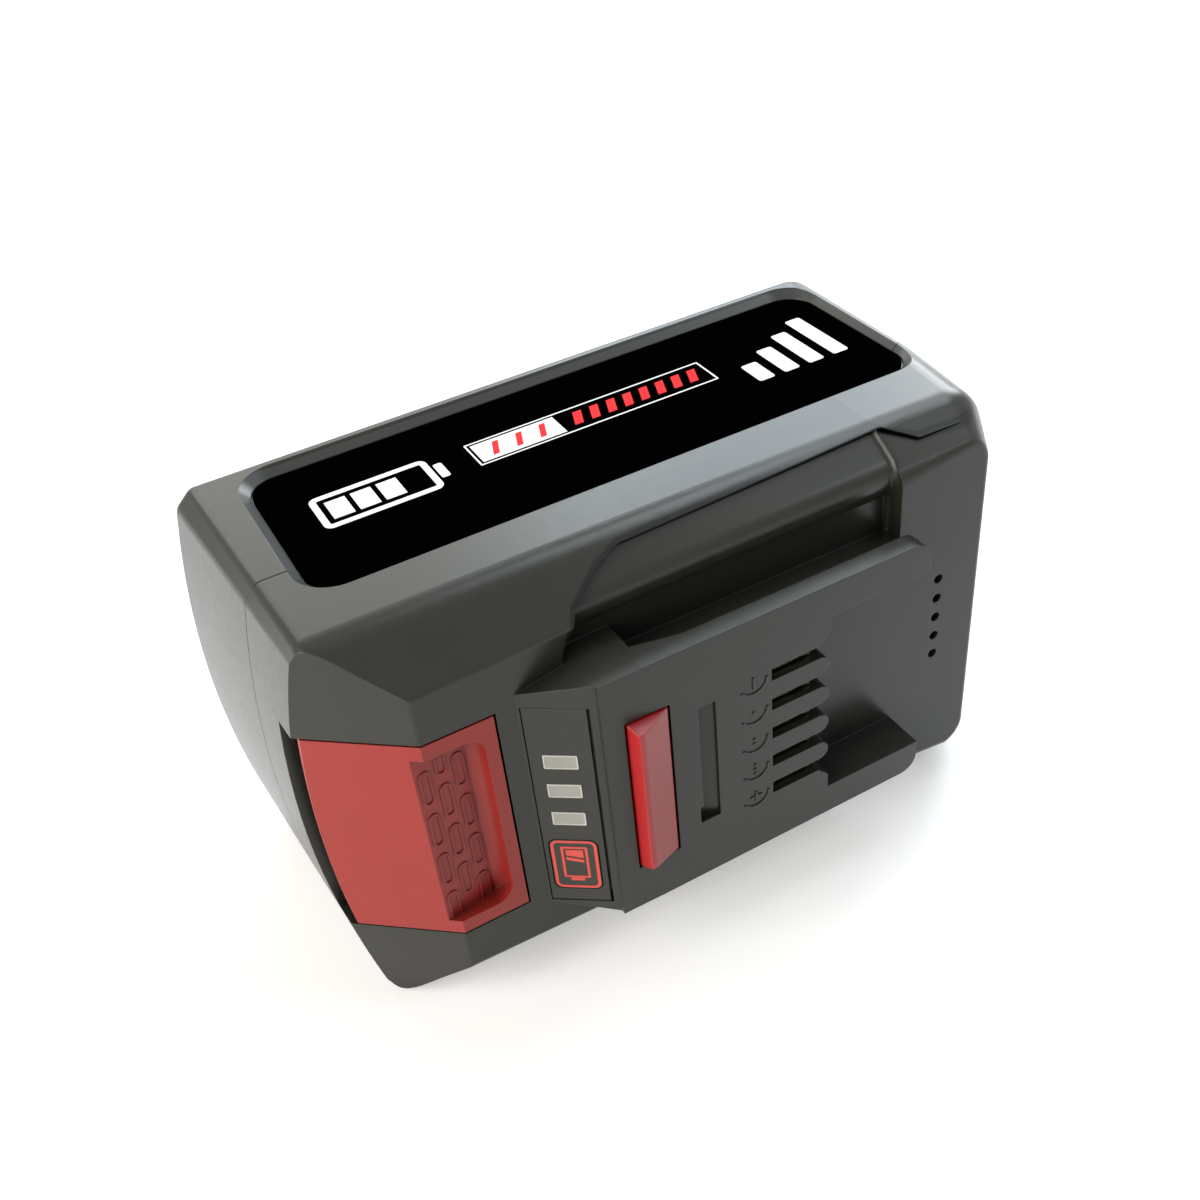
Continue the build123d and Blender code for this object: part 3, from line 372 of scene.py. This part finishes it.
def segment_distance(paint, along, across, start, end):
    """Distance from a point to a segment, from the outputs of its two coordinates."""
    length = math.hypot(end[0] - start[0], end[1] - start[1])
    ux, uy = (end[0] - start[0]) / length, (end[1] - start[1]) / length
    dx = paint.math("SUBTRACT", along, start[0] * MM)
    dy = paint.math("SUBTRACT", across, start[1] * MM)
    run = paint.math("ADD", paint.math("MULTIPLY", dx, ux), paint.math("MULTIPLY", dy, uy))
    run = paint.math("MAXIMUM", paint.math("MINIMUM", run, length * MM), 0.0)
    return paint.length(paint.math("SUBTRACT", dx, paint.math("MULTIPLY", run, ux)),
                        paint.math("SUBTRACT", dy, paint.math("MULTIPLY", run, uy)))


def painted_groove_shade(paint, x, y, side):
    """1 on the painted shade line round the mouth of each rail groove, 0 elsewhere."""
    near = paint.combine("MINIMUM", [segment_distance(paint, x, side, start, end)
                                     for start, end in zip(GROOVE_SHADE_LINE, GROOVE_SHADE_LINE[1:])])
    line = paint.math("SUBTRACT", 1.0, paint.step(near, *GROOVE_SHADE_WIDTH))
    return paint.math("MULTIPLY", line, paint.math("LESS_THAN", y, GROOVE_SHADE_LOW_Y * MM))


def painted_rim_highlight(paint, x, y, side):
    """1 where the painted highlight lies on the sloping rims of the two label recesses, 0 elsewhere."""
    limits = []
    for value, (low, high) in ((x, RIM_X), (y, RIM_Y), (side, RIM_SIDE)):
        limits.append(paint.math("GREATER_THAN", value, low * MM))
        limits.append(paint.math("LESS_THAN", value, high * MM))
    return paint.combine("MULTIPLY", limits)


def housing_painted_light(paint, color):
    """The housing's colour with a painted highlight on the labels' rims and a painted shade line round
    the grooves.
    """
    x, y, z = paint.coordinates()
    side = paint.math("ABSOLUTE", paint.math("SUBTRACT", z, MIDDLE_Z))
    # Painted highlight on the label rims, then a painted shade line round the groove mouths
    highlighted = paint.blend(painted_rim_highlight(paint, x, y, side), color, PAINTED_RIM_HIGHLIGHT)
    return paint.blend(painted_groove_shade(paint, x, y, side), highlighted, PAINTED_GROOVE_SHADE)


# Looks of the plastics and metals. Names such as Specular_IOR_Level are inputs of the shader.
FLAT_PRINT = dict(IOR=1.0, Specular_IOR_Level=0.0)
PRINT = dict(roughness=0.4, grain=0.3, grain_depth=0.0006, shift=0.02, edge=0.02, **FLAT_PRINT)
PANEL = dict(color=HOUSING, roughness=0.38, grain_depth=0.002, edge=0.12, Specular_IOR_Level=SATIN)
PLASTICS = {
    # The housing and the button carry painted shade in gaps and corners; the housing also a painted rim
    # highlight and a painted groove shade line
    "housing_plastic": dict(color=HOUSING, roughness=0.3, edge=0.22, shelter=5.0,
                            shades=housing_painted_light, Specular_IOR_Level=SATIN),
    "button_plastic": dict(color=(0.29, 0.022, 0.016), roughness=0.34, edge=0.14, shelter=3.5,
                           Specular_IOR_Level=SATIN),
    "hook_plastic": dict(color=(0.36, 0.011, 0.012), roughness=0.18, grain_depth=0.001,
                         shift=0.01, edge=0.4),
    "inner_plastic": dict(color=(0.012, 0.012, 0.012), roughness=0.5),
    "panel_plastic": PANEL,
    "window_plastic": dict(color=(0.28, 0.285, 0.262), roughness=0.5, grain_depth=0.001, edge=0.1),
    "key_plastic": PANEL,
    "board_laminate": dict(color=(0.015, 0.09, 0.04), roughness=0.35),
    "component": dict(color=(0.02, 0.02, 0.02), roughness=0.5),
    "ribbon": dict(color=(0.7, 0.68, 0.62), roughness=0.4),
    "holder_plastic": dict(color=(0.03, 0.03, 0.03), roughness=0.5),
    "insulating_sheet": dict(color=(0.4, 0.43, 0.38), roughness=0.7),
    "cell_sleeve": dict(color=(0.05, 0.2, 0.32), roughness=0.3),
    "label_gloss": dict(color=(0.0004, 0.0004, 0.0004), roughness=0.5, grain_depth=0.0005,
                        edge=0.1, **FLAT_PRINT),
    "print_white": dict(color=(0.86, 0.86, 0.85), **PRINT),
    "print_red": dict(color=(0.74, 0.045, 0.05), **PRINT),
    "key_red": dict(color=(0.62, 0.1, 0.085), **PRINT),
    "window_edge": dict(color=(0.46, 0.465, 0.43), **PRINT),
}
METALS = {
    "spring_steel": dict(color=(0.5, 0.5, 0.5), roughness=0.3),
    "screw_steel": dict(color=(0.09, 0.09, 0.09), roughness=0.35),
    "nickel": dict(color=(0.6, 0.58, 0.53), roughness=0.3),
    "contact_metal": dict(color=(0.7, 0.6, 0.42), roughness=0.25),
}
FINISHES = {name: moulded(name, **look) for name, look in PLASTICS.items()}
FINISHES.update({name: metal(name, **look) for name, look in METALS.items()})


def finish_nodes():
    """Give each CAD node the material of its slot."""
    for part in frame["record"]["subparts"]:
        node = frame["nodes"][part["node"]]
        node.data.materials.clear()
        node.data.materials.append(FINISHES[part["material_slot"]])


def find_joint(name):
    """The frame's row on a joint."""
    return [joint for joint in frame["joints"] if joint["name"] == name][0]


def add_object(name, data):
    """A new object in the scene, with its mesh, lamp or camera."""
    obj = bpy.data.objects.new(name, data)
    bpy.context.scene.collection.objects.link(obj)
    return obj


def add_piece(name, form, finish, body):
    """A visible piece with the faces of a form, which rides on a body."""
    bmesh.ops.recalc_face_normals(form, faces=form.faces[:])
    mesh = bpy.data.meshes.new(name)
    form.to_mesh(mesh)
    form.free()
    mesh.materials.append(FINISHES[finish])
    obj = add_object(name, mesh)
    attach(obj, body)
    return obj


def close_sides(form, first, second):
    """Quads between two loops of as many points."""
    for i in range(len(first)):
        j = (i + 1) % len(first)
        form.faces.new((first[i], first[j], second[j], second[i]))


def rounded(x0, x1, y0, y1, radius, steps=6):
    """Outline of a rectangle with round corners."""
    corners = [(x1 - radius, y1 - radius, 0), (x0 + radius, y1 - radius, 90),
               (x0 + radius, y0 + radius, 180), (x1 - radius, y0 + radius, 270)]
    outline = []
    for x, y, turn in corners:
        for i in range(steps + 1):
            angle = math.radians(turn + 90 * i / steps)
            outline.append((x + radius * math.cos(angle), y + radius * math.sin(angle)))
    return outline


def frame_line(x0, x1, y0, y1, radius, line):
    """A rounded outline drawn with a line of a width, as an outer and an inner loop."""
    inner = max(radius - line, INNER_ROUND)
    return (rounded(x0, x1, y0, y1, radius),
            rounded(x0 + line, x1 - line, y0 + line, y1 - line, inner))


def rounded_block(x0, x1, y0, y1, radius):
    return (rounded(x0, x1, y0, y1, radius), None)


def box_shape(x0, x1, y0, y1, slant=0.0):
    """A filled block, whose top may be shifted by a slant."""
    return ([(x0, y0), (x1, y0), (x1 + slant, y1), (x0 + slant, y1)], None)


def disc(x, y, radius, steps=16):
    angles = [2 * math.pi * i / steps for i in range(steps)]
    return ([(x + radius * math.cos(a), y + radius * math.sin(a)) for a in angles], None)


def arc_band(x, y, reach, start, end, line, steps=18):
    """Part of an elliptic ring between two angles in degrees, as one closed outline."""
    def side(grow, turns):
        angles = [math.radians(start + (end - start) * i / steps) for i in turns]
        return [(x + (reach[0] + grow) * math.cos(a), y + (reach[1] + grow) * math.sin(a))
                for a in angles]
    return (side(line / 2, range(steps + 1)) + side(-line / 2, range(steps, -1, -1)), None)


class Plane:
    """A flat place on a node: its origin, its two directions and its outward normal."""

    def __init__(self, origin, along, across):
        self.origin = origin
        self.along = along.normalized()
        self.across = across.normalized()
        self.out = self.along.cross(self.across)

    def loop(self, form, outline, height):
        """New points of a form along an outline in mm, at a height over the plane."""
        return [form.verts.new(self.origin + (self.along * u + self.across * v + self.out * height) * MM)
                for u, v in outline]


def marks(name, plane, shapes, finish, body, height=PRINT_HEIGHT):
    """Thin closed shapes on a plane: each is one outline, or an outer and an inner one."""
    form = bmesh.new()
    for outer, inner in shapes:
        top = plane.loop(form, outer, height)
        foot = plane.loop(form, outer, -PRINT_SINK)
        close_sides(form, top, foot)
        if inner is None:
            form.faces.new(top)
            form.faces.new(foot[::-1])
            continue
        hole_top = plane.loop(form, inner, height)
        hole_foot = plane.loop(form, inner, -PRINT_SINK)
        close_sides(form, hole_foot, hole_top)
        close_sides(form, hole_top, top)
        close_sides(form, foot, hole_foot)
    add_piece(name, form, finish, body)


def label_art():
    """Generic art: a cell, an outlined strip with a block and dashes, and rising bars."""
    low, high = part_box("label_plate")
    plane = Plane(Vector((low.x, low.y, high.z)), Vector((1, 0, 0)), Vector((0, 1, 0)))
    white = [frame_line(STRIP_START, STRIP_END, STRIP_LOW, STRIP_HIGH, STRIP_ROUND, STRIP_LINE)]
    white.append(box_shape(STRIP_START + STRIP_INSET, STRIP_START + STRIP_BLOCK,
                           STRIP_LOW + STRIP_INSET, STRIP_HIGH - STRIP_INSET))
    white += rising_bars(BARS_START, BARS_LOW)
    white += cell_sign(CELL_START, CELL_LOW)
    red = dash_row(STRIP_START + 3.0, pitch=4.3, width=1.1, count=3)
    red += dash_row(STRIP_START + STRIP_BLOCK + 2.0, pitch=3.2, width=1.6, count=8)
    marks("label_print_white", plane, white, "print_white", "pack")
    marks("label_print_red", plane, red, "print_red", "pack", PRINT_HEIGHT * 2)


def dash_row(start, pitch, width, count):
    """Slanted dashes along the strip."""
    low, high = STRIP_LOW + DASH_INSET, STRIP_HIGH - DASH_INSET
    starts = [start + pitch * i for i in range(count)]
    return [box_shape(x, x + width, low, high, DASH_SLANT) for x in starts]


def rising_bars(start, low, count=4):
    """Thick bars of rising height, as on a level gauge."""
    width, pitch, first, rise, corner = 3.1, 5.1, 6.2, 2.9, 0.5
    bars = []
    for i in range(count):
        x = start + pitch * i
        bars.append(rounded_block(x, x + width, low, low + first + rise * i, corner))
    return bars


def cell_sign(start, low):
    """Outlined cell with a nub and three filled bars, which leave room for a fourth."""
    length, height, line, corner = 20.0, 9.6, 1.1, 1.4
    nub_gap, nub_length, nub_inset, nub_corner = 0.5, 1.5, 2.6, 0.4
    bar_gap, side_gap, top_gap, places, spare = 0.9, 1.0, 1.1, 4, 4.0
    bar = (length - 2 * line - spare) / places
    nub = start + length + nub_gap
    sign = [frame_line(start, start + length, low, low + height, corner, line),
            rounded_block(nub, nub + nub_length, low + nub_inset, low + height - nub_inset, nub_corner)]
    for i in range(places - 1):
        x = start + line + side_gap + i * (bar + bar_gap)
        sign.append(box_shape(x, x + bar, low + line + top_gap, low + height - line - top_gap))
    return sign


def outer_plane(node, out):
    """The plane of a node's outermost face in a direction, with that face's half sizes in mm."""
    across = Vector((0, 0, 1))
    along = across.cross(out)
    mesh = frame["nodes"][node].data
    facing = [face for face in mesh.polygons if face.normal.dot(out) > FACING]
    spots = [mesh.vertices[i].co for face in facing for i in face.vertices]
    top = max(spot.dot(out) for spot in spots)
    rim = [spot for spot in spots if spot.dot(out) > top - FLATNESS * MM]
    middle = out * top
    halves = []
    for axis in (along, across):
        low, high = min(spot.dot(axis) for spot in rim), max(spot.dot(axis) for spot in rim)
        middle += axis * (low + high) / 2
        halves.append((high - low) / 2 / MM)
    return Plane(middle, along, across), halves


def gauge_normal():
    """Outward direction of the gauge's ramp: against the key's travel."""
    return -Vector(find_joint("gauge_press")["axis"]).normalized()


def key_sign():
    """Red rounded frame with a cell that is partly filled, on the gauge key."""
    plane, (half_x, half_y) = outer_plane("gauge_button", gauge_normal())
    x, y = half_x - KEY_INSET, half_y - KEY_INSET
    nub_half, nub_height, nub_sink = 1.1, 0.75, 0.1
    shapes = [frame_line(-x, x, -y, y, KEY_ROUND, KEY_LINE),
              frame_line(-KEY_CELL_HALF, KEY_CELL_HALF, KEY_CELL_FOOT, KEY_CELL_TOP,
                         KEY_CELL_ROUND, KEY_CELL_LINE),
              box_shape(-nub_half, nub_half, KEY_CELL_FOOT - nub_height, KEY_CELL_FOOT + nub_sink),
              key_fill(high_left=KEY_CELL_GAP, high_right=KEY_CELL_GAP, low_left=2.0, low_right=2.6),
              key_fill(high_left=2.4, high_right=3.0, low_left=3.1, low_right=3.7)]
    marks("key_print", plane, shapes, "key_red", "gauge_key")


def key_fill(high_left, high_right, low_left, low_right):
    """One filled part of the key's cell, from its corners' depths under the cell's top."""
    half = KEY_CELL_HALF - KEY_CELL_GAP
    corners = [(-half, low_left), (half, low_right), (half, high_right), (-half, high_left)]
    return ([(x, KEY_CELL_TOP - depth) for x, depth in corners], None)


def window_rims():
    """Lighter rim round each of the gauge's three windows."""
    plane, (half_x, half_y) = outer_plane("gauge_windows", gauge_normal())
    half = WINDOW_WIDTH / 2
    middles = [(half_y - half) * i for i in (-1, 0, 1)]
    shapes = [frame_line(-half_x, half_x, y - half, y + half, WINDOW_ROUND, WINDOW_LINE)
              for y in middles]
    marks("window_rims", plane, shapes, "window_edge", "pack")


def slot_sign(x, z, row):
    """A minus beside the first slot, one to three dots beside the next and a plus at the last."""
    if 0 < row < len(CONTACTS) - 1:
        middle = (row - 1) / 2
        return [disc(x, z + DOT_PITCH * (i - middle), DOT_RADIUS) for i in range(row)]
    line, reach = SIGN_HALF_LINE, SIGN_REACH
    sign = [box_shape(x - line, x + line, z - reach, z + reach)]
    if row > 0:
        sign += [box_shape(x - reach, x - line, z - line, z + line),
                 box_shape(x + line, x + reach, z - line, z + line)]
    return sign


def slot_marks():
    """Raised arcs beside the contact slots, from the highest slot down, each with a sign."""
    face_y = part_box("terminal_housing")[0].y
    shapes = []
    for row, name in enumerate(sorted(CONTACTS, key=lambda name: -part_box(name)[0].z)):
        low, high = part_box(name)
        x = low.x / MM - MARK_GAP
        z = (low.z + high.z) / 2 / MM
        shapes.append(arc_band(x, z, MARK_ARC, *MARK_TURN, MARK_LINE))
        shapes += slot_sign(x, z, row)
    plane = Plane(Vector((0, face_y, 0)), Vector((1, 0, 0)), Vector((0, 0, 1)))
    marks("slot_marks", plane, shapes, "housing_plastic", "pack", MARK_HEIGHT)


def coil(form, x, z, low_y, high_y, reach):
    """Round wire wound along Y, as a closed tube in a form. All lengths are in metres."""
    wire = SPRING_WIRE * MM / 2
    count = SPRING_TURNS * COIL_STEPS
    sides = [2 * math.pi * i / WIRE_SIDES for i in range(WIRE_SIDES)]
    loops = []
    for i in range(count + 1):
        turn = 2 * math.pi * i / COIL_STEPS
        out = Vector((math.cos(turn), 0, math.sin(turn)))
        y = low_y + wire + (high_y - low_y - 2 * wire) * i / count
        spot = Vector((x, y, z)) + out * (reach - wire)
        ring = [spot + (out * math.cos(a) + Vector((0, math.sin(a), 0))) * wire for a in sides]
        loops.append([form.verts.new(place) for place in ring])
    for first, second in zip(loops, loops[1:]):
        close_sides(form, first, second)
    form.faces.new(loops[0][::-1])
    form.faces.new(loops[-1])


def springs():
    """Two coil springs in place of their plain tubes."""
    low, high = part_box("latch_springs")
    reach = (high.x - low.x) / 2
    x = low.x + reach
    form = bmesh.new()
    for z in (low.z + reach, high.z - reach):
        coil(form, x, z, low.y, high.y, reach)
    obj = add_piece("coil_springs", form, "spring_steel", "pack")
    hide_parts("latch_springs")
    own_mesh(obj)


def floor():
    """Pale floor that shows white to the camera and to gloss, and keeps the shadow."""
    mesh = bpy.data.meshes.new("floor")
    corners = [(-FLOOR_HALF, -FLOOR_HALF, 0), (FLOOR_HALF, -FLOOR_HALF, 0),
               (FLOOR_HALF, FLOOR_HALF, 0), (-FLOOR_HALF, FLOOR_HALF, 0)]
    mesh.from_pydata(corners, [], [(0, 1, 2, 3)])
    mesh.materials.append(floor_paint())
    add_object("floor", mesh)


def floor_paint():
    """Matt paint, with a glow that only the camera and gloss see."""
    material = bpy.data.materials.new("floor")
    nodes = Nodes(material, "ShaderNodeOutputMaterial")
    path = nodes.add("ShaderNodeLightPath").outputs
    seen = nodes.math("MAXIMUM", path["Is Camera Ray"], path["Is Glossy Ray"])
    matt = nodes.add("ShaderNodeBsdfDiffuse", Color=FLOOR_GREY).outputs[0]
    glow = nodes.add("ShaderNodeEmission", Strength=far_glow(nodes)).outputs[0]
    both = nodes.add("ShaderNodeAddShader")
    nodes.feed(both.inputs[0], matt)
    nodes.feed(both.inputs[1], glow)
    nodes.feed(nodes.surface, nodes.mix_shaders(seen, matt, both.outputs[0]))
    return material


def far_glow(nodes):
    """The strength of the floor's glow, which grows to full white away from the pack."""
    x, y, _ = nodes.coordinates()
    far = nodes.step(nodes.length(x, y), *FLOOR_FADE)
    return nodes.math("ADD", nodes.math("MULTIPLY", far, 1.0 - FLOOR_GLOW), FLOOR_GLOW)


def world():
    """Soft light all round, which shows pale grey in gloss and white to the camera."""
    studio = bpy.data.worlds.new("studio")
    bpy.context.scene.world = studio
    nodes = Nodes(studio, "ShaderNodeOutputWorld")
    path = nodes.add("ShaderNodeLightPath").outputs
    soft = nodes.add("ShaderNodeBackground", Color=WORLD_TINT, Strength=WORLD_STRENGTH).outputs[0]
    gloss = nodes.add("ShaderNodeBackground", Color=WORLD_GLOSS).outputs[0]
    white = nodes.add("ShaderNodeBackground", Color=WHITE).outputs[0]
    mirror = nodes.mix_shaders(path["Is Glossy Ray"], soft, gloss)
    nodes.feed(nodes.surface, nodes.mix_shaders(path["Is Camera Ray"], mirror, white))


def direction(azimuth, elevation):
    """Unit vector at an azimuth from the front (-Y) and an elevation, both in radians."""
    flat = math.cos(elevation)
    return Vector((math.sin(azimuth) * flat, -math.cos(azimuth) * flat, math.sin(elevation)))


def lamp(name, azimuth, elevation, size, power, color):
    """Soft box that faces the pack."""
    data = bpy.data.lights.new(name, "AREA")
    data.shape = "RECTANGLE"
    data.size, data.size_y = size
    data.energy = power
    data.color = color
    obj = add_object(name, data)
    away = direction(math.radians(azimuth), math.radians(elevation))
    obj.location = away * LAMP_DISTANCE + LAMP_AIM
    obj.rotation_euler = away.to_track_quat("Z", "Y").to_euler()


def lamps():
    for name, settings in LAMPS.items():
        lamp(name, *settings)


def camera():
    """The camera of the photo, rolled about its own view."""
    data = bpy.data.cameras.new("camera")
    data.sensor_width = SENSOR
    data.lens = SENSOR * FOCAL_PIXELS / IMAGE_WIDTH
    data.clip_start = CLIP_START
    data.clip_end = CLIP_END
    back = direction(CAMERA_AZIMUTH, CAMERA_ELEVATION)
    right = Vector((0, 0, 1)).cross(back).normalized()
    up = back.cross(right)
    turned = right * math.cos(CAMERA_ROLL) + up * math.sin(CAMERA_ROLL)
    upright = up * math.cos(CAMERA_ROLL) - right * math.sin(CAMERA_ROLL)
    axes = Matrix((turned, upright, back)).transposed().to_4x4()
    obj = add_object("camera", data)
    obj.matrix_world = Matrix.Translation(CAMERA_TARGET + back * CAMERA_DISTANCE) @ axes
    bpy.context.scene.camera = obj


finish_nodes()
label_art()
key_sign()
window_rims()
slot_marks()
springs()
floor()
world()
lamps()
camera()
bpy.context.scene.view_settings.view_transform = "Standard"
